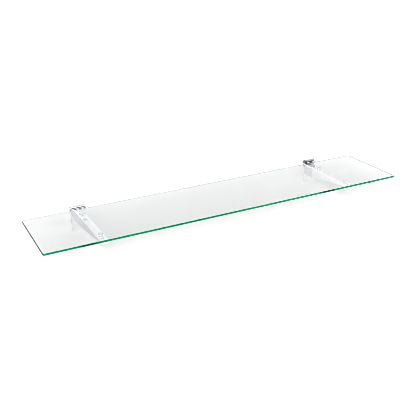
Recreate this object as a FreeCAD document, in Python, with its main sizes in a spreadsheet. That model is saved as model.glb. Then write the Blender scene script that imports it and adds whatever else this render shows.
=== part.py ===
"""Glass wall shelf on two hook-in slatwall brackets.

A toughened glass board lies on clear pads, two on each bracket. A bracket is a folded steel arm
welded to a back plate, and the plate's hook drops into the slot of a slatted wall panel.

Frame: X along the shelf, +Y into the wall, +Z up. The origin is on the wall face, midway along the
shelf, level with the top of the glass. Every bracket piece is drawn about its bracket's own centre line.
"""

import FreeCAD, Part
import os
import Sketcher

doc = FreeCAD.newDocument("glass_wall_shelf")

# ---------------------------------------------------------------------------
# Driving dimensions, in millimetres
# ---------------------------------------------------------------------------

DIMENSIONS = {
    # glass board
    "glass_length": 1200.0,
    "glass_depth": 250.0,
    "glass_thickness": 6.0,
    "glass_corner_radius": 5.0,
    "glass_arris": 0.8,
    # back plate and hook, folded from one strip
    "bracket_spread": 856.0,
    "plate_width": 48.0,
    "plate_thickness": 2.5,
    "plate_drop": 71.5,
    "plate_corner_radius": 2.0,
    "hook_gap": 7.5,
    "lip_rise": 8.0,
    "fold_radius": 1.0,
    # arm, folded from sheet: an upright web under the left edge of a flat flange
    "arm_length": 247.0,
    "arm_width": 23.0,
    "arm_thickness": 2.0,
    "arm_drop": 14.0,
    "arm_fold_radius": 1.5,
    "arm_corner_radius": 3.0,
    "web_offset": 6.0,
    "web_depth_rear": 38.0,
    "web_depth_front": 4.5,
    "web_nose_radius": 1.5,
    # clear pads, pushed through holes in the flange
    "pad_from_plate": 46.0,
    "pad_pitch": 150.0,
    "pad_rim_diameter": 16.0,
    "pad_body_diameter": 13.0,
    "pad_body_height": 4.2,
    "pad_rim_thickness": 0.8,
    "pad_dish_depth": 1.4,
    "pad_neck_diameter": 6.0,
    "pad_hole_clearance": 0.4,
    "pad_button_diameter": 9.0,
    "pad_button_depth": 1.4,
    "pad_nose_diameter": 4.4,
    "pad_nose_depth": 4.2,
    # fillet welds inside the angle of the arm
    "weld_leg": 2.5,
    "weld_end_gap": 3.0,
}

sheet = doc.addObject("Spreadsheet::Sheet", "Dimensions")
for row, (alias, value) in enumerate(DIMENSIONS.items(), start=1):
    sheet.set(f"A{row}", alias)
    sheet.set(f"B{row}", str(value))
    sheet.setAlias(f"B{row}", alias)
doc.recompute()


# ---------------------------------------------------------------------------
# Helpers
# ---------------------------------------------------------------------------

def origin_plane(body, role):
    """One of a body's own origin planes, such as XY_Plane."""
    return next(plane for plane in body.Origin.OriginFeatures if plane.Role == role)


def new_sketch(body, name, role, offset=None):
    """A sketch on an origin plane, moved along the plane's normal by the expression in offset."""
    sketch = body.newObject("Sketcher::SketchObject", name)
    sketch.AttachmentSupport = [(origin_plane(body, role), "")]
    sketch.MapMode = "FlatFace"
    if offset:
        sketch.setExpression("AttachmentOffset.Base.z", offset)
    return sketch


def bind_constraint(sketch, kind, references, name, expression):
    """A dimension of a sketch, driven by the spreadsheet."""
    index = sketch.addConstraint(Sketcher.Constraint(kind, *references, 1.0))
    sketch.renameConstraint(index, name)
    sketch.setExpression(f"Constraints.{name}", expression)


def evaluate(expression):
    """The value of an expression in sheet aliases, used to draw a line near its place."""
    return float(sheet.evalExpression(expression.replace("Dimensions.", "")))


def draw_outline(sketch, corners):
    """A closed outline of straight runs, with each corner given as two expressions."""
    points = [FreeCAD.Vector(evaluate(x), evaluate(y), 0) for x, y in corners]
    for start, end in zip(points, points[1:] + points[:1]):
        sketch.addGeometry(Part.LineSegment(start, end), False)
    for line, (x, y) in enumerate(corners):
        following = (line + 1) % len(corners)
        sketch.addConstraint(Sketcher.Constraint("Coincident", line, 2, following, 1))
        bind_constraint(sketch, "DistanceX", (-1, 1, line, 1), f"x{line}", x)
        bind_constraint(sketch, "DistanceY", (-1, 1, line, 1), f"y{line}", y)


def draw_circle(sketch, x, y, diameter):
    """A circle with its centre and diameter given as expressions."""
    centre = FreeCAD.Vector(evaluate(x), evaluate(y), 0)
    sketch.addGeometry(Part.Circle(centre, FreeCAD.Vector(0, 0, 1), evaluate(diameter) / 2), False)
    bind_constraint(sketch, "DistanceX", (-1, 1, 0, 3), "centre_x", x)
    bind_constraint(sketch, "DistanceY", (-1, 1, 0, 3), "centre_y", y)
    bind_constraint(sketch, "Diameter", (0,), "diameter", diameter)


def pad_sketch(body, name, sketch, length, midplane=False, reverse=False):
    """Material from a sketch, to a length given as an expression."""
    feature = body.newObject("PartDesign::Pad", name)
    feature.Profile = sketch
    feature.Midplane = midplane
    feature.Reversed = reverse
    feature.setExpression("Length", length)
    sketch.Visibility = False
    doc.recompute()
    return feature


def pocket_through(body, name, sketch):
    """A cut through the whole body, both ways from the sketch."""
    before = body.Shape.Volume
    feature = body.newObject("PartDesign::Pocket", name)
    feature.Profile = sketch
    feature.Type = "ThroughAll"
    feature.Midplane = True
    sketch.Visibility = False
    doc.recompute()
    if feature.Shape.Volume >= before:
        raise RuntimeError(f"{name} cuts nothing")
    return feature


def round_edges(body, name, chosen, radius, kind="Fillet"):
    """A fillet or a chamfer on every edge of the body's tip that the test picks."""
    base = body.Tip
    edges = [f"Edge{i}" for i, edge in enumerate(base.Shape.Edges, start=1) if chosen(edge)]
    if not edges:
        raise RuntimeError(f"{name} finds no edge")
    feature = body.newObject(f"PartDesign::{kind}", name)
    feature.Base = (base, edges)
    feature.setExpression("Radius" if kind == "Fillet" else "Size", radius)
    doc.recompute()
    return feature


def runs_along(edge, axis):
    """True for a straight edge along a direction."""
    if not isinstance(edge.Curve, Part.Line):
        return False
    return edge.tangentAt(edge.FirstParameter).cross(axis).Length < TOUCH


def passes(edge, **places):
    """True where the middle of an edge has the stated coordinates."""
    middle = edge.CenterOfMass
    return all(abs(getattr(middle, axis) - place) < TOUCH for axis, place in places.items())


TOUCH = 1e-4
ALONG_X = FreeCAD.Vector(1, 0, 0)
ALONG_Z = FreeCAD.Vector(0, 0, 1)

# Levels and places that several pieces share
GLASS_UNDERSIDE = "-Dimensions.glass_thickness"
PLATE_FRONT = "-Dimensions.plate_thickness"
FLANGE_TOP = "-Dimensions.arm_drop"
FLANGE_UNDERSIDE = "-Dimensions.arm_drop - Dimensions.arm_thickness"
WEB_OUTER = "-Dimensions.web_offset"
WEB_INNER = "-Dimensions.web_offset + Dimensions.arm_thickness"
FLANGE_EDGE = "-Dimensions.web_offset + Dimensions.arm_width"
FLANGE_MIDDLE = "-Dimensions.web_offset + Dimensions.arm_width / 2"
ARM_FRONT = "-Dimensions.plate_thickness - Dimensions.arm_length"
REAR_PAD = "-Dimensions.plate_thickness - Dimensions.pad_from_plate"


# ---------------------------------------------------------------------------
# Glass board
# ---------------------------------------------------------------------------

def make_glass(label):
    """Toughened glass with rounded corners and a fine arris ground on every long edge."""
    body = doc.addObject("PartDesign::Body", label)
    sketch = new_sketch(body, f"{label}_plan", "XY_Plane")
    half = "Dimensions.glass_length / 2"
    front = "-Dimensions.plate_thickness - Dimensions.glass_depth"
    draw_outline(sketch, [
        (f"-{half}", front),
        (half, front),
        (half, PLATE_FRONT),
        (f"-{half}", PLATE_FRONT),
    ])
    pad_sketch(body, f"{label}_board", sketch, "Dimensions.glass_thickness", reverse=True)
    round_edges(body, f"{label}_corners", lambda edge: runs_along(edge, ALONG_Z),
                "Dimensions.glass_corner_radius")
    faces = (0.0, evaluate(GLASS_UNDERSIDE))
    round_edges(body, f"{label}_arris", lambda edge: any(passes(edge, z=level) for level in faces),
                "Dimensions.glass_arris", kind="Chamfer")
    return body


# ---------------------------------------------------------------------------
# Bracket pieces
# ---------------------------------------------------------------------------

def make_back_plate(label):
    """A strip that runs up the wall face, folds back through the slot and turns up behind it."""
    body = doc.addObject("PartDesign::Body", label)
    sketch = new_sketch(body, f"{label}_section", "YZ_Plane")
    bottom = "-Dimensions.plate_drop"
    step_top = "Dimensions.plate_thickness"
    lip_front = "Dimensions.hook_gap"
    lip_back = "Dimensions.hook_gap + Dimensions.plate_thickness"
    lip_top = "Dimensions.plate_thickness + Dimensions.lip_rise"
    draw_outline(sketch, [
        (PLATE_FRONT, bottom),
        ("0", bottom),
        ("0", "0"),
        (lip_back, "0"),
        (lip_back, lip_top),
        (lip_front, lip_top),
        (lip_front, step_top),
        (PLATE_FRONT, step_top),
    ])
    pad_sketch(body, f"{label}_strip", sketch, "Dimensions.plate_width", midplane=True)

    inner_folds = [(0.0, 0.0), (evaluate(lip_front), evaluate(step_top))]
    outer_folds = [(evaluate(PLATE_FRONT), evaluate(step_top)), (evaluate(lip_back), 0.0)]
    round_edges(body, f"{label}_outer_folds",
                lambda edge: any(passes(edge, y=y, z=z) for y, z in outer_folds),
                "Dimensions.fold_radius + Dimensions.plate_thickness")
    round_edges(body, f"{label}_inner_folds",
                lambda edge: any(passes(edge, y=y, z=z) for y, z in inner_folds),
                "Dimensions.fold_radius")

    half_sheet = evaluate("Dimensions.plate_thickness / 2")
    tips = [
        (-half_sheet, evaluate(bottom)),
        (evaluate(lip_front) + half_sheet, evaluate(lip_top)),
    ]
    across = FreeCAD.Vector(0, 1, 0)
    round_edges(body, f"{label}_corners",
                lambda edge: runs_along(edge, across) and any(passes(edge, y=y, z=z) for y, z in tips),
                "Dimensions.plate_corner_radius")
    return body


def make_arm(label):
    """An L-section folded from sheet, its web tapering from the plate to the front end."""
    body = doc.addObject("PartDesign::Body", label)
    web_bottom = "-Dimensions.arm_drop - Dimensions.web_depth_rear"
    section = new_sketch(body, f"{label}_section", "XZ_Plane", "Dimensions.plate_thickness")
    draw_outline(section, [
        (WEB_OUTER, FLANGE_TOP),
        (WEB_OUTER, web_bottom),
        (WEB_INNER, web_bottom),
        (WEB_INNER, FLANGE_UNDERSIDE),
        (FLANGE_EDGE, FLANGE_UNDERSIDE),
        (FLANGE_EDGE, FLANGE_TOP),
    ])
    pad_sketch(body, f"{label}_angle", section, "Dimensions.arm_length")
    round_edges(body, f"{label}_inner_fold",
                lambda edge: passes(edge, x=evaluate(WEB_INNER), z=evaluate(FLANGE_UNDERSIDE)),
                "Dimensions.arm_fold_radius")
    round_edges(body, f"{label}_outer_fold",
                lambda edge: passes(edge, x=evaluate(WEB_OUTER), z=evaluate(FLANGE_TOP)),
                "Dimensions.arm_fold_radius + Dimensions.arm_thickness")

    front_bottom = "-Dimensions.arm_drop - Dimensions.web_depth_front"
    taper = new_sketch(body, f"{label}_taper_outline", "YZ_Plane")
    draw_outline(taper, [
        (PLATE_FRONT, web_bottom),
        (ARM_FRONT, web_bottom),
        (ARM_FRONT, front_bottom),
    ])
    pocket_through(body, f"{label}_taper", taper)

    hole = new_sketch(body, f"{label}_pad_hole_outline", "XY_Plane", FLANGE_TOP)
    draw_circle(hole, FLANGE_MIDDLE, REAR_PAD,
                "Dimensions.pad_neck_diameter + Dimensions.pad_hole_clearance")
    rear_hole = pocket_through(body, f"{label}_rear_pad_hole", hole)
    holes = body.newObject("PartDesign::LinearPattern", f"{label}_pad_holes")
    holes.Originals = [rear_hole]
    holes.Direction = (hole, ["V_Axis"])
    holes.Reversed = True
    holes.Occurrences = 2
    holes.setExpression("Length", "Dimensions.pad_pitch")
    body.Tip = holes
    doc.recompute()

    round_edges(body, f"{label}_flange_corner",
                lambda edge: runs_along(edge, ALONG_Z)
                and passes(edge, x=evaluate(FLANGE_EDGE), y=evaluate(ARM_FRONT)),
                "Dimensions.arm_corner_radius")
    web_middle = evaluate(WEB_OUTER) + evaluate("Dimensions.arm_thickness / 2")
    round_edges(body, f"{label}_web_nose",
                lambda edge: runs_along(edge, ALONG_X)
                and passes(edge, x=web_middle, y=evaluate(ARM_FRONT), z=evaluate(front_bottom)),
                "Dimensions.web_nose_radius")
    return body


def make_pad(label):
    """A clear pad: dished rim against the glass, body on the flange, neck and button through it.

    It is drawn about its own axis, with the flange's top face at height 0.
    """
    body = doc.addObject("PartDesign::Body", label)
    sketch = new_sketch(body, f"{label}_section", "XZ_Plane")
    rim = "Dimensions.pad_rim_diameter / 2"
    shoulder = "Dimensions.pad_body_diameter / 2"
    neck = "Dimensions.pad_neck_diameter / 2"
    button = "Dimensions.pad_button_diameter / 2"
    nose = "Dimensions.pad_nose_diameter / 2"
    top = "Dimensions.arm_drop - Dimensions.glass_thickness"
    underside = "-Dimensions.arm_thickness"
    button_bottom = "-Dimensions.arm_thickness - Dimensions.pad_button_depth"
    draw_outline(sketch, [
        ("0", f"{top} - Dimensions.pad_dish_depth"),
        (f"{rim} - Dimensions.pad_rim_thickness", top),
        (rim, top),
        (rim, f"{top} - Dimensions.pad_rim_thickness"),
        (shoulder, "Dimensions.pad_body_height"),
        (shoulder, "0"),
        (neck, "0"),
        (neck, underside),
        (button, underside),
        (button, button_bottom),
        (nose, f"{button_bottom} - Dimensions.pad_nose_depth"),
        ("0", f"{button_bottom} - Dimensions.pad_nose_depth"),
    ])
    turned = body.newObject("PartDesign::Revolution", f"{label}_turned")
    turned.Profile = sketch
    turned.ReferenceAxis = (sketch, ["V_Axis"])
    turned.Angle = 360
    sketch.Visibility = False
    doc.recompute()
    return body


def make_web_weld(label):
    """A fillet weld down the inner side of the web, where it meets the plate, below the flange's weld."""
    body = doc.addObject("PartDesign::Body", label)
    start = "Dimensions.arm_drop + Dimensions.arm_thickness + Dimensions.weld_leg"
    sketch = new_sketch(body, f"{label}_section", "XY_Plane", f"-({start})")
    draw_outline(sketch, [
        (WEB_INNER, PLATE_FRONT),
        (WEB_INNER, f"{PLATE_FRONT} - Dimensions.weld_leg"),
        (f"{WEB_INNER} + Dimensions.weld_leg", PLATE_FRONT),
    ])
    end = "Dimensions.arm_drop + Dimensions.web_depth_rear - Dimensions.weld_end_gap"
    pad_sketch(body, f"{label}_bead", sketch, f"{end} - ({start})", reverse=True)
    return body


def make_flange_weld(label):
    """A fillet weld under the flange, where it meets the plate."""
    body = doc.addObject("PartDesign::Body", label)
    start = f"{WEB_INNER} + Dimensions.arm_fold_radius"
    sketch = new_sketch(body, f"{label}_section", "YZ_Plane", start)
    draw_outline(sketch, [
        (PLATE_FRONT, FLANGE_UNDERSIDE),
        (f"{PLATE_FRONT} - Dimensions.weld_leg", FLANGE_UNDERSIDE),
        (PLATE_FRONT, f"{FLANGE_UNDERSIDE} - Dimensions.weld_leg"),
    ])
    end = f"{FLANGE_EDGE} - Dimensions.weld_end_gap"
    pad_sketch(body, f"{label}_bead", sketch, f"{end} - ({start})")
    return body


# ---------------------------------------------------------------------------
# Assembly: one glass board and two brackets of the same hand
# ---------------------------------------------------------------------------

def place(body, x, y="0", z="0"):
    """Puts a body at a place given as expressions."""
    for axis, expression in (("x", x), ("y", y), ("z", z)):
        body.setExpression(f"Placement.Base.{axis}", expression)


sub_parts = [make_glass("glass_shelf")]

for side, centre in (
    ("left", "-Dimensions.bracket_spread / 2"),
    ("right", "Dimensions.bracket_spread / 2"),
):
    for maker, piece in (
        (make_back_plate, "back_plate"),
        (make_arm, "arm"),
        (make_web_weld, "web_weld"),
        (make_flange_weld, "flange_weld"),
    ):
        bracket_piece = maker(f"{side}_{piece}")
        place(bracket_piece, centre)
        sub_parts.append(bracket_piece)
    for piece, pad_y in (
        ("rear_pad", REAR_PAD),
        ("front_pad", f"{REAR_PAD} - Dimensions.pad_pitch"),
    ):
        cushion = make_pad(f"{side}_{piece}")
        place(cushion, f"{centre} + {FLANGE_MIDDLE}", pad_y, FLANGE_TOP)
        sub_parts.append(cushion)

doc.recompute()

# ---------------------------------------------------------------------------
# Checks and output
# ---------------------------------------------------------------------------

for item in doc.Objects:
    if "Invalid" in item.State or "Error" in item.State:
        raise RuntimeError(f"{item.Label} did not build: {item.State}")

os.makedirs("parts", exist_ok=True)
for body in sub_parts:
    shape = body.Shape
    if shape.isNull() or not shape.isValid() or len(shape.Solids) != 1:
        raise RuntimeError(f"{body.Label} is not one valid solid")
    shape.exportStep(os.path.join("parts", f"{body.Label}.step"))
    size = shape.BoundBox
    print(f"{body.Label}: {size.XLength:.1f} x {size.YLength:.1f} x {size.ZLength:.1f} mm, "
          f"{shape.Volume / 1000:.2f} cm3")
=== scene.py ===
"""Looks of a clear glass wall shelf lying on two folded chrome brackets.

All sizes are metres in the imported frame: X along the shelf, +Y into the wall, +Z up, the glass
top at height 0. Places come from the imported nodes; the fields below add the stock thicknesses,
bends and edge breaks that a node's box doesn't tell.
"""
import logging
import math
from dataclasses import dataclass, field
from enum import Enum

import bmesh
import bpy
from mathutils import Matrix, Vector


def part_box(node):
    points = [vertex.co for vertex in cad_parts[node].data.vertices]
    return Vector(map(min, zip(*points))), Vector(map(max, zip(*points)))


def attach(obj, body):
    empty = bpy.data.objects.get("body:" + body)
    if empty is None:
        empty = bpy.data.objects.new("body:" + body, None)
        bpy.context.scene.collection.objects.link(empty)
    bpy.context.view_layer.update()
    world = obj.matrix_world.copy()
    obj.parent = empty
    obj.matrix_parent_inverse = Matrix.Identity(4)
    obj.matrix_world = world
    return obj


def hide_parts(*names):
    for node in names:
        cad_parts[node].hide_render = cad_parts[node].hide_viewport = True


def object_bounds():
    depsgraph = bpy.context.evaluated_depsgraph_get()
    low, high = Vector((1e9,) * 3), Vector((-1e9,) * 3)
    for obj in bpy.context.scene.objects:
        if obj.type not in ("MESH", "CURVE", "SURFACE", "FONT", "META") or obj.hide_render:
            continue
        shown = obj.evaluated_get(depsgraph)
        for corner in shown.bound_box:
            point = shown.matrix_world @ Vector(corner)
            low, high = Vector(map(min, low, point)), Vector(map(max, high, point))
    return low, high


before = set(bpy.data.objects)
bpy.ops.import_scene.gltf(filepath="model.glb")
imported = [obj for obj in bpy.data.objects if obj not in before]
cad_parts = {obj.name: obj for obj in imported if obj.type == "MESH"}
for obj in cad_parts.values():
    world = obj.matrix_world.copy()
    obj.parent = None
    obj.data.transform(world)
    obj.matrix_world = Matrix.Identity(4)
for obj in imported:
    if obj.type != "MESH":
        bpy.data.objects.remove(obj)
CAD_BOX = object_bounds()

BODY = "root"
MM = 0.001
QUARTER = math.pi / 2
# Points nearer each other than this are one point.
SAME_POINT = MM / 1000
# Places along a sheet are rounded to this many digits of a metre.
PLACE_DIGITS = 7
# A sheet's edge is broken where it turns by more than this.
BREAK_ANGLE = math.radians(38)
# A pattern with this stretch runs no particular way.
EVEN = (1.0, 1.0, 1.0)
WHITE = (1.0, 1.0, 1.0)
# How finely each ripple of a weld bead is faceted.
RIPPLE_SIDES = 20
RIPPLE_RINGS = 10

log = logging.getLogger("glass_wall_shelf")


# ---------------------------------------------------------------------------
# Shared bench work: boxes, rings, lofts and pieces
# ---------------------------------------------------------------------------

@dataclass(frozen=True)
class NodeBox:
    """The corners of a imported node, at rest."""

    low: Vector
    high: Vector

    @classmethod
    def of(cls, node: str) -> "NodeBox":
        """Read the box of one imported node.

        Args:
            node: The node's name.

        Returns:
            Its lowest and highest corners.
        """
        low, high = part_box(node)
        return cls(low, high)

    @property
    def middle(self) -> Vector:
        """The centre of the box."""
        return (self.low + self.high) / 2

    @property
    def size(self) -> Vector:
        """The three extents of the box."""
        return self.high - self.low


@dataclass(frozen=True)
class Bend:
    """One quarter bend in a sheet, drawn as a fan of equal steps."""

    centre: tuple[float, float]
    radius: float
    start: float
    turn: float
    steps: int = 10

    def stations(self) -> list[tuple[Vector, Vector]]:
        """Walk round the bend.

        Returns:
            Pairs of a point on the arc and the outward direction there, both in the bend's plane.
        """
        found = []
        for step in range(self.steps + 1):
            angle = self.start + self.turn * step / self.steps
            outward = Vector((math.cos(angle), math.sin(angle)))
            found.append((Vector(self.centre) + outward * self.radius, outward))
        return found


def corner_inset(distance: float, radius: float) -> float:
    """How far a rounded corner pulls an edge in, at a distance from the end of the sheet.

    Args:
        distance: Distance back from the sheet's end.
        radius: The corner's radius.

    Returns:
        The inset, 0 past the corner.
    """
    if distance >= radius:
        return 0.0
    return radius - math.sqrt(max(radius ** 2 - (radius - distance) ** 2, 0.0))


def corner_distances(radius: float, steps: int = 7) -> list[float]:
    """Distances from a sheet's end at equal angles round its corner.

    Args:
        radius: The corner's radius.
        steps: How many steps the corner gets.

    Returns:
        Distances from 0 to the radius.
    """
    return [radius * (1 - math.cos(QUARTER * step / steps)) for step in range(steps + 1)]


def skin(name: str, rings: list[list[Vector]]) -> bpy.types.Mesh:
    """Skin a closed solid over a row of point rings of one length.

    Args:
        name: The mesh's name.
        rings: The rings, each with its points in the same order.

    Returns:
        The solid's mesh, with its faces outwards.
    """
    bench = bmesh.new()
    rows = [[bench.verts.new(point) for point in ring] for ring in rings]
    count = len(rows[0])
    for near, far in zip(rows, rows[1:]):
        for i in range(count):
            j = (i + 1) % count
            bench.faces.new((near[i], near[j], far[j], far[i]))
    bench.faces.new(rows[0])
    bench.faces.new(rows[-1])
    return seal(name, bench)


def seal(name: str, bench: bmesh.types.BMesh) -> bpy.types.Mesh:
    """Close a bench mesh into a smooth-shaded mesh with outward faces.

    Args:
        name: The mesh's name.
        bench: The mesh under work, which is used up.

    Returns:
        The finished mesh.
    """
    bmesh.ops.remove_doubles(bench, verts=bench.verts, dist=SAME_POINT)
    bmesh.ops.recalc_face_normals(bench, faces=bench.faces)
    mesh = bpy.data.meshes.new(name)
    bench.to_mesh(mesh)
    bench.free()
    mesh.shade_smooth()
    return mesh


def place(name: str, mesh: bpy.types.Mesh) -> bpy.types.Object:
    """Put a mesh in the scene as an object at the origin.

    Args:
        name: The object's name.
        mesh: Its mesh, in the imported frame.

    Returns:
        The object.
    """
    made = bpy.data.objects.new(name, mesh)
    bpy.context.scene.collection.objects.link(made)
    return made


def settle(made: bpy.types.Object) -> None:
    """Turn an object's modifiers into plain mesh and take them off.

    Args:
        made: The object, which keeps its name and place.
    """
    evaluated = made.evaluated_get(bpy.context.evaluated_depsgraph_get())
    mesh = bpy.data.meshes.new_from_object(evaluated)
    mesh.name = made.name
    made.modifiers.clear()
    made.data = mesh


def break_edges(made: bpy.types.Object, width: float, segments: int = 3) -> None:
    """Round the sharp edges of a sheet part and keep its flats flat.

    Args:
        made: The part.
        width: How much of each face the rounding takes.
        segments: Steps across the rounding.
    """
    rounding = made.modifiers.new("edge_break", "BEVEL")
    rounding.width = width
    rounding.segments = segments
    rounding.limit_method = "ANGLE"
    rounding.angle_limit = BREAK_ANGLE
    rounding.harden_normals = True
    rounding.miter_outer = "MITER_ARC"


def hand_in(made: bpy.types.Object, node: str, slot: str, *finishes: bpy.types.Material) -> None:
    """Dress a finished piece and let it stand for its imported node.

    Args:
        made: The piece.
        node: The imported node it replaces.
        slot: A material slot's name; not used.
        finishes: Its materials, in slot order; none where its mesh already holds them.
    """
    if finishes:
        made.data.materials.clear()
        for finish in finishes:
            made.data.materials.append(finish)
    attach(made, BODY)
    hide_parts(node)
    log.info("%s: %d faces, stands for %s", made.name, len(made.data.polygons), node)


# ---------------------------------------------------------------------------
# Finishes
# ---------------------------------------------------------------------------

class Recipe:
    """A node material or world while its nodes are being laid."""

    def __init__(self, tree: bpy.types.NodeTree) -> None:
        """Start on a node tree."""
        self.tree = tree

    @classmethod
    def material(cls, name: str) -> tuple["Recipe", bpy.types.Material, bpy.types.Node]:
        """Open a new material.

        Args:
            name: The material's name.

        Returns:
            The recipe, the material and its Principled shader.
        """
        made = bpy.data.materials.new(name)
        made.use_nodes = True
        return cls(made.node_tree), made, made.node_tree.nodes["Principled BSDF"]

    def add(self, kind: str, settings: dict | None = None, **inputs: object) -> bpy.types.Node:
        """Lay one node.

        Args:
            kind: Blender's node type, without the ShaderNode prefix.
            settings: Attributes of the node itself.
            inputs: Input values or sockets by name, with _ for each space.

        Returns:
            The node.
        """
        node = self.tree.nodes.new("ShaderNode" + kind)
        for key, value in (settings or {}).items():
            setattr(node, key, value)
        for key, value in inputs.items():
            self.feed(node, key.replace("_", " "), value)
        return node

    def feed(self, node: bpy.types.Node, name: str, value: object) -> None:
        """Set one input from a value or link it to a socket.

        Args:
            node: The node.
            name: The input's name.
            value: A plain value or an output socket.
        """
        socket = node.inputs[name]
        if isinstance(value, bpy.types.NodeSocket):
            self.tree.links.new(value, socket)
        else:
            socket.default_value = value

    def ramp(self, source: object, low: tuple[float, float],
             high: tuple[float, float]) -> bpy.types.NodeSocket:
        """Map one range of a value smoothly on to another.

        Args:
            source: The socket to map.
            low: The value in and out at the low end.
            high: The value in and out at the high end.

        Returns:
            The mapped socket.
        """
        node = self.add("MapRange", {"interpolation_type": "SMOOTHSTEP"}, Value=source)
        self.feed(node, "From Min", low[0])
        self.feed(node, "To Min", low[1])
        self.feed(node, "From Max", high[0])
        self.feed(node, "To Max", high[1])
        return node.outputs["Result"]

    def blend(self, factor: object, first: object, second: object) -> bpy.types.NodeSocket:
        """Mix two colours by a factor socket.

        Args:
            factor: The socket that mixes them.
            first: The colour at 0, as three numbers or a socket.
            second: The colour at 1, the same.

        Returns:
            The mixed colour.
        """
        # The Mix node keeps its factor at 0, its two colours at 6 and 7, and the mixed colour at 2.
        node = self.tree.nodes.new("ShaderNodeMix")
        node.data_type = "RGBA"
        self.tree.links.new(factor, node.inputs[0])
        for socket, colour in zip(node.inputs[6:8], (first, second)):
            if isinstance(colour, bpy.types.NodeSocket):
                self.tree.links.new(colour, socket)
            else:
                socket.default_value = (*colour, 1)
        return node.outputs[2]

    def place_coordinates(self, stretch: tuple[float, float, float]) -> bpy.types.NodeSocket:
        """Object coordinates, stretched so that a pattern runs one way.

        Args:
            stretch: How much finer the pattern gets along each axis.

        Returns:
            The coordinate socket.
        """
        where = self.add("TexCoord").outputs["Object"]
        return self.add("Mapping", Vector=where, Scale=stretch).outputs["Vector"]

    def speckle(self, stretch: tuple[float, float, float], scale: float,
                detail: float = 2.0) -> bpy.types.NodeSocket:
        """A noise pattern in the piece's own coordinates.

        Args:
            stretch: How much finer it gets along each axis.
            scale: Patches per metre.
            detail: How many finer layers it holds.

        Returns:
            The noise, about 0.3 to 0.7.
        """
        where = self.place_coordinates(stretch)
        node = self.add("TexNoise", Vector=where, Scale=scale, Detail=detail)
        return node.outputs["Fac"]

    def emboss(self, height: object, strength: float, distance: float,
               over: object | None = None) -> bpy.types.NodeSocket:
        """Turn a height pattern into a surface normal.

        Args:
            height: The pattern.
            strength: How much of it shows.
            distance: Its height in metres.
            over: A normal socket that it adds to.

        Returns:
            The normal socket.
        """
        node = self.add("Bump", Height=height, Strength=strength, Distance=distance)
        if over is not None:
            self.feed(node, "Normal", over)
        return node.outputs["Normal"]


@dataclass(frozen=True)
class ChromeFinish:
    """Bright chrome plate over cold-rolled sheet, or over a weld where the base is rougher."""

    name: str
    bright: tuple[float, float, float] = (0.925, 0.93, 0.945)
    cloudy: tuple[float, float, float] = (0.87, 0.875, 0.89)
    cloud_pitch: float = 22 * MM
    cloud_range: tuple[float, float] = (0.4, 0.66)
    polish: tuple[float, float] = (0.035, 0.10)
    haze_pitch: float = 9 * MM
    haze_range: tuple[float, float] = (0.36, 0.66)
    haze_stretch: tuple[float, float, float] = (1, 0.25, 1)
    peel_pitch: float = 2.4 * MM
    peel_height: float = 0.006 * MM
    grain_pitch: float = 0.35 * MM
    grain_height: float = 0.0012 * MM
    grain_stretch: tuple[float, float, float] = (1, 0.06, 0.06)

    def build(self) -> bpy.types.Material:
        """Make the plated metal.

        Returns:
            The material.
        """
        recipe, made, shader = Recipe.material(self.name)
        shader.inputs["Metallic"].default_value = 1.0
        cloud = recipe.speckle(EVEN, 1 / self.cloud_pitch, detail=4)
        clouded = recipe.ramp(cloud, (self.cloud_range[0], 0), (self.cloud_range[1], 1))
        recipe.feed(shader, "Base Color", recipe.blend(clouded, self.bright, self.cloudy))
        haze = recipe.speckle(self.haze_stretch, 1 / self.haze_pitch, detail=3)
        recipe.feed(shader, "Roughness", recipe.ramp(haze, (self.haze_range[0], self.polish[0]),
                                                     (self.haze_range[1], self.polish[1])))
        peel = recipe.emboss(recipe.speckle(EVEN, 1 / self.peel_pitch, detail=1), 1, self.peel_height)
        grain = recipe.speckle(self.grain_stretch, 1 / self.grain_pitch)
        recipe.feed(shader, "Normal", recipe.emboss(grain, 1, self.grain_height, peel))
        return made


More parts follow.
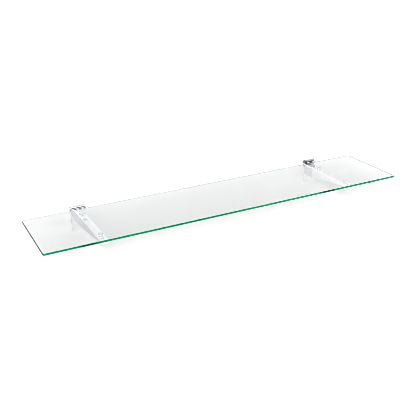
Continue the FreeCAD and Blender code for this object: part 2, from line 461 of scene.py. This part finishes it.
@dataclass(frozen=True)
class GlassFinish:
    """Clear float glass, toughened on rollers: long edges ground and polished; the short ends ground
    and coloured near-black, which is painted shade.
    """

    name: str = "clear_glass"
    index: float = 1.52
    tint: tuple[float, float, float] = (0.0, 0.73, 0.60)
    tint_density: float = 6.5
    face_colour: tuple[float, float, float] = (0.82, 0.80, 0.80)
    edge_colour: tuple[float, float, float] = (0.001, 0.45, 0.19)
    edge_shine: tuple[float, float, float] = (0.05, 0.62, 0.34)
    # Near-black colour of the short ends: painted shade, standing in for how dark the ends look under
    # this light.
    end_shade_colour: tuple[float, float, float] = (0.001, 0.02, 0.014)
    roller_pitch: float = 260 * MM
    roller_height: float = 0.02 * MM
    roller_stretch: tuple[float, float, float] = (1, 0.3, 1)
    grind_pitch: float = 0.5 * MM
    grind_height: float = 0.004 * MM
    grind_stretch: tuple[float, float, float] = (0.05, 0.05, 1)
    edge_roughness: float = 0.10

    def build(self) -> bpy.types.Material:
        """Make the glass.

        Returns:
            The material.
        """
        recipe, made, shader = Recipe.material(self.name)
        shader.inputs["Transmission Weight"].default_value = 1.0
        shader.inputs["IOR"].default_value = self.index
        edge = recipe.add("Attribute", {"attribute_name": "ground"}).outputs["Fac"]
        # The short ends take the near-black end colour, which is painted shade.
        painted_end_shade = recipe.add("Attribute", {"attribute_name": "painted_end_shade"}).outputs["Fac"]
        cut = recipe.blend(painted_end_shade, self.edge_colour, self.end_shade_colour)
        recipe.feed(shader, "Base Color", recipe.blend(edge, self.face_colour, cut))
        recipe.feed(shader, "Specular Tint", recipe.blend(edge, WHITE, self.edge_shine))
        recipe.feed(shader, "Roughness", recipe.ramp(edge, (0, 0.0), (1, self.edge_roughness)))
        waves = recipe.speckle(self.roller_stretch, 1 / self.roller_pitch, detail=0)
        rolled = recipe.emboss(waves, 1, self.roller_height)
        lines = recipe.speckle(self.grind_stretch, 1 / self.grind_pitch)
        ground = recipe.add("Math", {"operation": "MULTIPLY"})
        recipe.tree.links.new(lines, ground.inputs[0])
        recipe.tree.links.new(edge, ground.inputs[1])
        recipe.feed(shader, "Normal", recipe.emboss(ground.outputs[0], 1, self.grind_height, rolled))
        body = recipe.add("VolumeAbsorption", Color=(*self.tint, 1), Density=self.tint_density)
        recipe.tree.links.new(body.outputs[0], recipe.tree.nodes["Material Output"].inputs["Volume"])
        return made


@dataclass(frozen=True)
class VinylFinish:
    """Soft clear vinyl, a little cloudy, with moulding bloom."""

    name: str = "clear_vinyl"
    clear: tuple[float, float, float] = (0.90, 0.92, 0.915)
    milky: tuple[float, float, float] = (0.82, 0.84, 0.84)
    index: float = 1.46
    clearness: float = 0.90
    cloud_pitch: float = 3 * MM
    cloud_range: tuple[float, float] = (0.38, 0.64)
    bloom: tuple[float, float] = (0.08, 0.22)
    bloom_pitch: float = 1.2 * MM
    bloom_range: tuple[float, float] = (0.35, 0.65)
    pit_pitch: float = 0.45 * MM
    pit_height: float = 0.01 * MM

    def build(self) -> bpy.types.Material:
        """Make the vinyl.

        Returns:
            The material.
        """
        recipe, made, shader = Recipe.material(self.name)
        shader.inputs["Transmission Weight"].default_value = self.clearness
        shader.inputs["IOR"].default_value = self.index
        cloud = recipe.speckle(EVEN, 1 / self.cloud_pitch, detail=3)
        clouded = recipe.ramp(cloud, (self.cloud_range[0], 0), (self.cloud_range[1], 1))
        recipe.feed(shader, "Base Color", recipe.blend(clouded, self.clear, self.milky))
        bloom = recipe.speckle(EVEN, 1 / self.bloom_pitch, detail=3)
        recipe.feed(shader, "Roughness", recipe.ramp(bloom, (self.bloom_range[0], self.bloom[0]),
                                                     (self.bloom_range[1], self.bloom[1])))
        pits = recipe.speckle(EVEN, 1 / self.pit_pitch)
        recipe.feed(shader, "Normal", recipe.emboss(pits, 1, self.pit_height))
        return made


@dataclass(frozen=True)
class Finishes:
    """Every finish of the shelf, made once."""

    glass: bpy.types.Material = field(default_factory=lambda: GlassFinish().build())
    chrome: bpy.types.Material = field(
        default_factory=lambda: ChromeFinish("chromed_steel").build())
    weld_chrome: bpy.types.Material = field(
        default_factory=lambda: ChromeFinish(
            "chromed_weld", bright=(0.84, 0.85, 0.86), cloudy=(0.70, 0.71, 0.72),
            polish=(0.10, 0.24), peel_pitch=0.6 * MM).build())
    vinyl: bpy.types.Material = field(default_factory=lambda: VinylFinish().build())


# ---------------------------------------------------------------------------
# The board
# ---------------------------------------------------------------------------

@dataclass
class GlassBoard:
    """The toughened board, with rounded corners and a ground edge between two arrises."""

    finishes: Finishes
    node: str = "glass_shelf"
    corner_radius: float = 5 * MM
    corner_steps: int = 12
    arris: float = 0.8 * MM
    arris_grind: float = 0.55
    flat_lean: float = 0.9
    edge_lean: float = 0.1
    sharp_turn: float = math.radians(25)
    rest_gap: float = 0.03 * MM

    def outline(self, inset: float, height: float) -> list[Vector]:
        """The board's outline, pulled in by an inset.

        Args:
            inset: How far inside the real edge it runs.
            height: The height it lies at.

        Returns:
            The points, anticlockwise from above.
        """
        box = NodeBox.of(self.node)
        half_x = box.size.x / 2 - self.rest_gap
        half_y = box.size.y / 2 - self.rest_gap
        round_to = self.corner_radius - inset
        points = []
        for quarter, (sx, sy) in enumerate(((1, 1), (-1, 1), (-1, -1), (1, -1))):
            centre = box.middle + Vector((sx * (half_x - self.corner_radius),
                                          sy * (half_y - self.corner_radius), 0))
            for step in range(self.corner_steps + 1):
                angle = QUARTER * (quarter + step / self.corner_steps)
                points.append(Vector((centre.x + round_to * math.cos(angle),
                                      centre.y + round_to * math.sin(angle), height)))
        return points

    def build(self) -> bpy.types.Object:
        """Cut, grind and dress the board.

        Returns:
            The finished piece.
        """
        box = NodeBox.of(self.node)
        low, high = box.low.z + self.rest_gap, box.high.z
        mesh = skin("glass_board", [
            self.outline(self.arris, low),
            self.outline(0, low + self.arris),
            self.outline(0, high - self.arris),
            self.outline(self.arris, high),
        ])
        self.mark_ground(mesh)
        mesh.set_sharp_from_angle(angle=self.sharp_turn)
        made = place("glass_board", mesh)
        hand_in(made, self.node, "clear_glass", self.finishes.glass)
        return made

    def grind(self, normal: Vector, end: bool) -> float:
        """How far one face of the board is ground.

        Args:
            normal: The way the face looks.
            end: Whether it is on a short end of the board.

        Returns:
            0 on the clear faces, 1 on the edge, and between them on a polished arris.
        """
        lean = abs(normal.z)
        if lean > self.flat_lean:
            return 0.0
        return self.arris_grind if lean > self.edge_lean and not end else 1.0

    def mark_ground(self, mesh: bpy.types.Mesh) -> None:
        """Mark the ground edge, and which parts of it are on a short end, where the glass gets a
        near-black colour as painted shade.

        Args:
            mesh: The board's mesh.
        """
        ends = [abs(flat.normal.x) > abs(flat.normal.y) for flat in mesh.polygons]
        ground = [self.grind(flat.normal, end) for flat, end in zip(mesh.polygons, ends)]
        mesh.attributes.new("ground", "FLOAT", "FACE").data.foreach_set("value", ground)
        # Faces on the short ends, which the glass paints near-black as painted shade.
        painted_end_shade = [float(end) for end in ends]
        mesh.attributes.new("painted_end_shade", "FLOAT", "FACE").data.foreach_set("value", painted_end_shade)


# ---------------------------------------------------------------------------
# The brackets
# ---------------------------------------------------------------------------

class Side(Enum):
    """Which bracket of the pair."""

    LEFT = "left"
    RIGHT = "right"


class PadPlace(Enum):
    """Which pad of a bracket."""

    REAR = "rear"
    FRONT = "front"


@dataclass
class BackPlate:
    """A steel strip that lies flat on the wall, steps back through the slot and turns up as a hook."""

    side: Side
    finishes: Finishes
    thickness: float = 2.5 * MM
    fold_radius: float = 1 * MM
    corner_radius: float = 2 * MM
    edge_break: float = 0.35 * MM

    @property
    def node(self) -> str:
        """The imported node."""
        return f"{self.side.value}_back_plate"

    def course(self) -> list[tuple[Vector, Vector, float]]:
        """Follow the strip's middle line from the foot to the tip of the lip.

        Returns:
            Points and outward directions in the (Y, Z) plane, each with the strip's half width.
        """
        box = NodeBox.of(self.node)
        half, middle = box.size.x / 2, self.thickness / 2
        bend = self.fold_radius + middle
        front = box.low.y + middle
        step = middle
        lip = box.high.y - middle
        toward_room = Vector((-1, 0))
        course = []
        for distance in corner_distances(self.corner_radius):
            course.append((Vector((front, box.low.z + distance)), toward_room,
                           half - corner_inset(distance, self.corner_radius)))
        for point, outward in Bend((front + bend, step - bend), bend, math.pi, -QUARTER).stations():
            course.append((point, outward, half))
        for point, outward in Bend((lip - bend, step + bend), bend, -QUARTER, QUARTER).stations():
            course.append((point, -outward, half))
        for distance in reversed(corner_distances(self.corner_radius)):
            course.append((Vector((lip, box.high.z - distance)), toward_room,
                           half - corner_inset(distance, self.corner_radius)))
        return course

    def build(self) -> bpy.types.Object:
        """Fold and dress the strip.

        Returns:
            The finished piece.
        """
        centre = NodeBox.of(self.node).middle.x
        rings = []
        for point, outward, half in self.course():
            outer, inner = point + outward * self.thickness / 2, point - outward * self.thickness / 2
            rings.append([Vector((centre - half, outer.x, outer.y)),
                          Vector((centre + half, outer.x, outer.y)),
                          Vector((centre + half, inner.x, inner.y)),
                          Vector((centre - half, inner.x, inner.y))])
        made = place(f"{self.node}_strip", skin(self.node, rings))
        break_edges(made, self.edge_break)
        settle(made)
        hand_in(made, self.node, "chromed_steel", self.finishes.chrome)
        return made


@dataclass
class Arm:
    """Sheet folded to an angle: a tapering web on the left and a flat flange on top."""

    side: Side
    finishes: Finishes
    thickness: float = 2 * MM
    fold_radius: float = 1.5 * MM
    flange_corner_radius: float = 3 * MM
    web_nose_radius: float = 1.5 * MM
    web_depth_front: float = 4.5 * MM
    hole_diameter: float = 6.4 * MM
    drill_sides: int = 40
    drill_length: float = 8 * MM
    fold_steps: int = 10
    edge_break: float = 0.28 * MM
    weld_bite: float = 0.4 * MM

    @property
    def node(self) -> str:
        """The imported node."""
        return f"{self.side.value}_arm"

    def section(self, y: float) -> list[Vector]:
        """The angle's section at one distance from the wall.

        Args:
            y: Where along the arm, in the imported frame.

        Returns:
            The ring of points, from the foot of the web's outer face round to its fold.
        """
        box = NodeBox.of(self.node)
        ahead = y - box.low.y
        edge = box.high.x - corner_inset(ahead, self.flange_corner_radius)
        front_foot = box.high.z - self.web_depth_front
        slope = (box.low.z - front_foot) / box.size.y
        foot = front_foot + slope * ahead + corner_inset(ahead, self.web_nose_radius)
        outer = self.fold_radius + self.thickness
        centre = (box.low.x + outer, box.high.z - outer)
        inner_fold = Bend(centre, self.fold_radius, math.pi, -QUARTER, self.fold_steps).stations()
        outer_fold = Bend(centre, outer, QUARTER, QUARTER, self.fold_steps).stations()
        ring = [Vector((box.low.x, y, foot)), Vector((box.low.x + self.thickness, y, foot))]
        ring += [Vector((point.x, y, point.y)) for point, _ in inner_fold]
        ring += [Vector((edge, y, box.high.z - self.thickness)), Vector((edge, y, box.high.z))]
        ring += [Vector((point.x, y, point.y)) for point, _ in outer_fold]
        return ring

    def stations(self) -> list[float]:
        """Where along the arm its section is cut, front end first.

        Returns:
            The Y places, close together round the front corners.
        """
        box = NodeBox.of(self.node)
        ahead = corner_distances(self.flange_corner_radius) + corner_distances(self.web_nose_radius)
        places = sorted({round(distance, PLACE_DIGITS) for distance in ahead})
        return [box.low.y + distance for distance in places] + [box.high.y + self.weld_bite]

    def drill(self, made: bpy.types.Object) -> bpy.types.Object:
        """Drill the two pad holes through the flange.

        Args:
            made: The folded arm.

        Returns:
            The drill, to be thrown away once the arm is settled.
        """
        bench = bmesh.new()
        for where in PadPlace:
            axis = NodeBox.of(f"{self.side.value}_{where.value}_pad").middle
            top = NodeBox.of(self.node).high.z
            bmesh.ops.create_cone(
                bench, cap_ends=True, segments=self.drill_sides, radius1=self.hole_diameter / 2,
                radius2=self.hole_diameter / 2, depth=self.drill_length,
                matrix=Matrix.Translation((axis.x, axis.y, top)))
        drill = place("pad_hole_drill", seal("pad_hole_drill", bench))
        cut = made.modifiers.new("pad_holes", "BOOLEAN")
        cut.operation = "DIFFERENCE"
        cut.solver = "EXACT"
        cut.object = drill
        return drill

    def build(self) -> bpy.types.Object:
        """Fold, drill and dress the arm.

        Returns:
            The finished piece.
        """
        made = place(f"{self.node}_angle", skin(self.node, [self.section(y) for y in self.stations()]))
        drill = self.drill(made)
        break_edges(made, self.edge_break)
        settle(made)
        bpy.data.objects.remove(drill)
        hand_in(made, self.node, "chromed_steel", self.finishes.chrome)
        return made


@dataclass
class WeldBead:
    """A run of overlapping ripples in the corner between two sheets, laid by Geometry Nodes."""

    node: str
    root: tuple[Vector, Vector]
    finishes: Finishes
    pitch: float = 0.85 * MM
    radius: float = 1.75 * MM
    flatness: float = 0.62
    unevenness: float = 0.07
    seed: int = 7

    @staticmethod
    def tree() -> bpy.types.NodeTree:
        """Lay the node tree that runs ripples along a seam, or find it again.

        Returns:
            The tree, with named inputs for its sizes.
        """
        if "weld_ripples" in bpy.data.node_groups:
            return bpy.data.node_groups["weld_ripples"]
        tree = bpy.data.node_groups.new("weld_ripples", "GeometryNodeTree")
        face = tree.interface
        face.new_socket("Bead", in_out="OUTPUT", socket_type="NodeSocketGeometry")
        for name, kind in (("Start", "Vector"), ("End", "Vector"), ("Pitch", "Float"),
                           ("Radius", "Float"), ("Flatness", "Float"), ("Unevenness", "Float"),
                           ("Seed", "Int"), ("Metal", "Material")):
            face.new_socket(name, in_out="INPUT", socket_type="NodeSocket" + kind)
        nodes, link = tree.nodes, tree.links.new
        given = nodes.new("NodeGroupInput").outputs
        seam = nodes.new("GeometryNodeCurvePrimitiveLine")
        link(given["Start"], seam.inputs["Start"])
        link(given["End"], seam.inputs["End"])
        dots = nodes.new("GeometryNodeCurveToPoints")
        dots.mode = "LENGTH"
        link(seam.outputs["Curve"], dots.inputs["Curve"])
        link(given["Pitch"], dots.inputs["Length"])
        ripple = nodes.new("GeometryNodeMeshUVSphere")
        ripple.inputs["Segments"].default_value = RIPPLE_SIDES
        ripple.inputs["Rings"].default_value = RIPPLE_RINGS
        link(given["Radius"], ripple.inputs["Radius"])
        squash = nodes.new("ShaderNodeCombineXYZ")
        squash.inputs["X"].default_value = 1
        squash.inputs["Y"].default_value = 1
        link(given["Flatness"], squash.inputs["Z"])
        flat = nodes.new("GeometryNodeTransform")
        link(ripple.outputs["Mesh"], flat.inputs["Geometry"])
        link(squash.outputs["Vector"], flat.inputs["Scale"])
        least = nodes.new("ShaderNodeMath")
        least.operation = "SUBTRACT"
        least.inputs[0].default_value = 1
        link(given["Unevenness"], least.inputs[1])
        # A plain random number has its least and greatest value at inputs 2 and 3, and comes out at 1.
        size = nodes.new("FunctionNodeRandomValue")
        size.data_type = "FLOAT"
        link(least.outputs[0], size.inputs[2])
        size.inputs[3].default_value = 1
        link(given["Seed"], size.inputs["Seed"])
        laid = nodes.new("GeometryNodeInstanceOnPoints")
        link(dots.outputs["Points"], laid.inputs["Points"])
        link(flat.outputs["Geometry"], laid.inputs["Instance"])
        link(dots.outputs["Rotation"], laid.inputs["Rotation"])
        link(size.outputs[1], laid.inputs["Scale"])
        real = nodes.new("GeometryNodeRealizeInstances")
        link(laid.outputs["Instances"], real.inputs["Geometry"])
        smooth = nodes.new("GeometryNodeSetShadeSmooth")
        link(real.outputs["Geometry"], smooth.inputs[0])
        dressed = nodes.new("GeometryNodeSetMaterial")
        link(smooth.outputs[0], dressed.inputs["Geometry"])
        link(given["Metal"], dressed.inputs["Material"])
        out = nodes.new("NodeGroupOutput")
        link(dressed.outputs["Geometry"], out.inputs["Bead"])
        return tree

    def build(self) -> bpy.types.Object:
        """Run the ripples along the seam and dress the bead.

        Returns:
            The finished piece.
        """
        tree = self.tree()
        made = place(f"{self.node}_bead", bpy.data.meshes.new(self.node))
        laying = made.modifiers.new("ripples", "NODES")
        laying.node_group = tree
        given = {"Start": self.root[0], "End": self.root[1], "Pitch": self.pitch,
                 "Radius": self.radius, "Flatness": self.flatness, "Unevenness": self.unevenness,
                 "Seed": self.seed, "Metal": self.finishes.weld_chrome}
        for socket in tree.interface.items_tree:
            if socket.in_out == "INPUT":
                laying[socket.identifier] = given[socket.name]
        settle(made)
        hand_in(made, self.node, "chromed_weld")
        return made


@dataclass
class Pad:
    """A clear pad: a dished rim under the glass, a body on the flange, a neck and a button below."""

    side: Side
    where: PadPlace
    finishes: Finishes
    body_diameter: float = 13 * MM
    body_height: float = 4.2 * MM
    rim_thickness: float = 0.8 * MM
    dish_depth: float = 1.4 * MM
    neck_diameter: float = 6 * MM
    flange_thickness: float = 2 * MM
    button_diameter: float = 9 * MM
    button_depth: float = 1.4 * MM
    nose_diameter: float = 4.4 * MM
    underside_flare: float = 0.35 * MM
    underside_fall: float = 0.1 * MM
    flare_height: float = 0.5 * MM
    body_break: float = 0.3 * MM
    button_break: float = 0.25 * MM
    button_shoulder: float = 0.3 * MM
    nose_swell: float = 0.2 * MM
    nose_shoulder: float = 0.4 * MM
    nose_break: float = 0.3 * MM
    curve_steps: int = 8
    sharp_turn: float = math.radians(50)
    around: int = 48
    rest_gap: float = 0.04 * MM

    @property
    def node(self) -> str:
        """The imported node."""
        return f"{self.side.value}_{self.where.value}_pad"

    def profile(self) -> list[tuple[float, float]]:
        """Half the pad's section.

        Returns:
            Pairs of a radius and a height, from the dish's centre round to the nose's tip.
        """
        box = NodeBox.of(self.node)
        rim, top = box.size.x / 2, box.high.z - self.rest_gap
        flange_top = NodeBox.of(f"{self.side.value}_arm").high.z
        under = flange_top - self.flange_thickness
        body, neck = self.body_diameter / 2, self.neck_diameter / 2
        button, nose = self.button_diameter / 2, self.nose_diameter / 2
        soft = self.rim_thickness / 2
        lip = rim - self.rim_thickness
        shares = [step / self.curve_steps for step in range(self.curve_steps + 1)]
        points = [(lip * share, top - self.dish_depth * (1 - share ** 2)) for share in shares]
        for share in shares[1:]:
            angle = QUARTER - math.pi * share
            points.append((rim - soft + soft * math.cos(angle), top - soft + soft * math.sin(angle)))
        waist = flange_top + self.body_height
        seat, catch = flange_top + self.rest_gap, under - self.rest_gap
        taper, tip = under - self.button_depth, box.low.z
        points += [(body + self.underside_flare, waist - self.underside_fall),
                   (body, waist - self.flare_height),
                   (body, flange_top + self.body_break),
                   (body - self.body_break, seat),
                   (neck, seat),
                   (neck, catch),
                   (button - self.button_break, catch),
                   (button, under - self.button_shoulder),
                   (button, taper),
                   ((button + nose) / 2, (taper + tip) / 2),
                   (nose + self.nose_swell, tip + self.nose_shoulder),
                   (nose - self.nose_break, tip),
                   (0, tip)]
        return points

    def build(self) -> bpy.types.Object:
        """Turn and dress the pad.

        Returns:
            The finished piece.
        """
        axis = NodeBox.of(self.node).middle
        bench = bmesh.new()
        rows = []
        for radius, height in self.profile():
            if radius <= 0:
                rows.append([bench.verts.new((axis.x, axis.y, height))])
                continue
            rows.append([bench.verts.new((axis.x + radius * math.cos(turn),
                                          axis.y + radius * math.sin(turn), height))
                         for turn in (2 * math.pi * i / self.around for i in range(self.around))])
        for near, far in zip(rows, rows[1:]):
            for i in range(self.around):
                j = (i + 1) % self.around
                corners = [near[i % len(near)], near[j % len(near)],
                           far[j % len(far)], far[i % len(far)]]
                bench.faces.new(list(dict.fromkeys(corners)))
        mesh = seal(self.node, bench)
        mesh.set_sharp_from_angle(angle=self.sharp_turn)
        made = place(f"{self.node}_vinyl", mesh)
        hand_in(made, self.node, "clear_vinyl", self.finishes.vinyl)
        return made


@dataclass
class Bracket:
    """One bracket: plate, arm, their two welds and the pads that the glass lies on."""

    side: Side
    finishes: Finishes
    weld_reach: float = 0.55 * MM
    weld_margin: float = 1.1 * MM

    def seams(self) -> dict[str, tuple[Vector, Vector]]:
        """Where the two welds run.

        Returns:
            The ends of each bead's middle line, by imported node.
        """
        seams = {}
        web = NodeBox.of(f"{self.side.value}_web_weld")
        reach = Vector((self.weld_reach, -self.weld_reach, 0))
        foot = Vector((web.low.x, web.high.y, web.low.z + self.weld_margin)) + reach
        head = Vector((web.low.x, web.high.y, web.high.z)) + reach
        seams[f"{self.side.value}_web_weld"] = (foot, head)
        under = NodeBox.of(f"{self.side.value}_flange_weld")
        reach = Vector((0, -self.weld_reach, -self.weld_reach))
        near = Vector((under.low.x, under.high.y, under.high.z)) + reach
        far = Vector((under.high.x - self.weld_margin, under.high.y, under.high.z)) + reach
        seams[f"{self.side.value}_flange_weld"] = (near, far)
        return seams

    def build(self) -> list[bpy.types.Object]:
        """Make every piece of the bracket.

        Returns:
            The finished pieces.
        """
        made = [BackPlate(self.side, self.finishes).build(), Arm(self.side, self.finishes).build()]
        for node, root in self.seams().items():
            made.append(WeldBead(node, root, self.finishes).build())
        for where in PadPlace:
            made.append(Pad(self.side, where, self.finishes).build())
        return made


# ---------------------------------------------------------------------------
# The studio
# ---------------------------------------------------------------------------

@dataclass(frozen=True)
class Card:
    """A dark flag hung far out on the dome, which every ray but the camera's meets.

    It dims the dome to a share of its light within the core angle, and less and less out to the rim
    angle, both in degrees.
    """

    name: str
    toward: tuple[float, float, float]
    core: float
    rim: float
    light: float

    def share(self, recipe: Recipe, toward: bpy.types.NodeSocket) -> bpy.types.NodeSocket:
        """Work out what share of the dome's light comes from each direction.

        Args:
            recipe: The dome's node recipe.
            toward: The direction looked in.

        Returns:
            The share, 1 beyond the card's rim and the card's own light within its core.
        """
        near = recipe.add("VectorMath", {"operation": "DOT_PRODUCT"})
        recipe.tree.links.new(toward, near.inputs[0])
        near.inputs[1].default_value = Vector(self.toward).normalized()
        return recipe.ramp(near.outputs["Value"], (math.cos(math.radians(self.rim)), 1.0),
                           (math.cos(math.radians(self.core)), self.light))


@dataclass
class Studio:
    """A pale floor under the plates' feet, soft light round about, and the camera."""

    floor_drop: float = 0.4 * MM
    floor_size: float = 60.0
    floor_colour: tuple[float, float, float] = (0.665, 0.66, 0.655)
    floor_roughness: float = 0.9
    sky: tuple[float, float, float] = (0.99, 0.985, 1.0)
    sky_strength: float = 1.45
    cards: tuple[Card, ...] = (
        Card("high_front_flag", toward=(0.24, -0.47, 0.85), core=27, rim=33, light=0.02),
        Card("right_front_flag", toward=(0.55, -0.77, 0.31), core=9, rim=15, light=0.02),
        Card("low_front_flag", toward=(0.40, -0.84, -0.36), core=12, rim=24, light=0.66),
        Card("level_front_flag", toward=(0.0, -1.0, -0.03), core=8, rim=20, light=0.45),
        Card("low_left_front_flag", toward=(-0.42, -0.82, -0.38), core=12, rim=26, light=0.52),
        Card("low_left_rear_flag", toward=(-0.27, 0.87, -0.41), core=8, rim=28, light=0.42),
        Card("low_end_flag", toward=(-0.12, 0.868, -0.482), core=5.2, rim=8.2, light=0.02),
        Card("left_side_flag", toward=(-0.88, -0.26, -0.36), core=18, rim=30, light=0.05),
        Card("right_side_flag", toward=(0.80, 0.48, -0.36), core=14, rim=34, light=0.22),
    )
    key_from: tuple[float, float, float] = (-0.40, -0.83, 0.36)
    key_strength: float = 5.5
    key_spread: float = 36.0
    light_paths: int = 48
    film_softness: float = 0.6
    camera_place: tuple[float, float, float] = (-0.91706, -1.86948, 0.79478)
    camera_heading: float = 26.55
    camera_tilt: float = -22.94
    camera_roll: float = -1.23
    lens: float = 58.0

    def build(self) -> None:
        """Set the whole studio up."""
        self.lay_floor()
        self.light_dome()
        self.hang_key_light()
        self.follow_light()
        self.set_camera()
        bpy.context.scene.view_settings.view_transform = "Standard"

    def lay_floor(self) -> None:
        """Lay the floor just under the brackets, where the chrome mirrors the dome instead of it."""
        _, finish, shader = Recipe.material("studio_floor")
        shader.inputs["Base Color"].default_value = (*self.floor_colour, 1)
        shader.inputs["Roughness"].default_value = self.floor_roughness
        shader.inputs["Specular IOR Level"].default_value = 0.0
        bench = bmesh.new()
        height = CAD_BOX[0].z - self.floor_drop
        bmesh.ops.create_grid(bench, x_segments=1, y_segments=1, size=self.floor_size / 2,
                              matrix=Matrix.Translation((0, 0, height)))
        floor = place("studio_floor", seal("studio_floor", bench))
        floor.data.materials.append(finish)
        floor.visible_glossy = False

    def light_dome(self) -> None:
        """Light everything from one bright dome with its flags in it, and show the camera it plain."""
        world = bpy.data.worlds.new("studio_dome")
        world.use_nodes = True
        bpy.context.scene.world = world
        recipe = Recipe(world.node_tree)
        glow = world.node_tree.nodes["Background"]
        glow.inputs["Color"].default_value = (*self.sky, 1)
        toward = recipe.add("TexCoord").outputs["Generated"]
        light = self.sky_strength
        for card in self.cards:
            step = recipe.add("Math", {"operation": "MULTIPLY"}, Value=light)
            recipe.tree.links.new(card.share(recipe, toward), step.inputs[1])
            light = step.outputs[0]
        # The Mix node keeps its factor at 0, its two plain numbers at 2 and 3, and the result at 0.
        plain = recipe.tree.nodes.new("ShaderNodeMix")
        recipe.tree.links.new(recipe.add("LightPath").outputs["Is Camera Ray"], plain.inputs[0])
        recipe.tree.links.new(light, plain.inputs[2])
        plain.inputs[3].default_value = self.sky_strength
        recipe.feed(glow, "Strength", plain.outputs[0])

    def hang_key_light(self) -> None:
        """Hang a wide soft key light on the camera's side, screened from the chrome."""
        lamp = bpy.data.lights.new("studio_key_light", "SUN")
        lamp.energy = self.key_strength
        lamp.angle = math.radians(self.key_spread)
        key = bpy.data.objects.new("studio_key_light", lamp)
        key.matrix_world = Vector(self.key_from).to_track_quat("Z", "Y").to_matrix().to_4x4()
        key.visible_glossy = False
        key.visible_camera = False
        bpy.context.scene.collection.objects.link(key)

    def follow_light(self) -> None:
        """Let light run the whole width of the board, where it turns green, and keep lines crisp."""
        paths = bpy.context.scene.cycles
        paths.max_bounces = self.light_paths
        paths.glossy_bounces = self.light_paths
        paths.transmission_bounces = self.light_paths
        paths.blur_glossy = 0.0
        paths.filter_width = self.film_softness

    def set_camera(self) -> None:
        """Set the camera to the left of the shelf, looking down on it."""
        lens = bpy.data.cameras.new("studio_camera")
        lens.lens = self.lens
        camera = bpy.data.objects.new("studio_camera", lens)
        turn = Matrix.Rotation(-math.radians(self.camera_heading), 4, "Z")
        tip = Matrix.Rotation(QUARTER + math.radians(self.camera_tilt), 4, "X")
        roll = Matrix.Rotation(math.radians(self.camera_roll), 4, "Z")
        camera.matrix_world = Matrix.Translation(self.camera_place) @ turn @ tip @ roll
        bpy.context.scene.collection.objects.link(camera)
        bpy.context.scene.camera = camera


def main() -> None:
    """Make the board, both brackets and the studio."""
    logging.basicConfig(level=logging.INFO, format="%(name)s: %(message)s")
    finishes = Finishes()
    GlassBoard(finishes).build()
    for side in Side:
        Bracket(side, finishes).build()
    Studio().build()


if __name__ == "__main__":
    main()
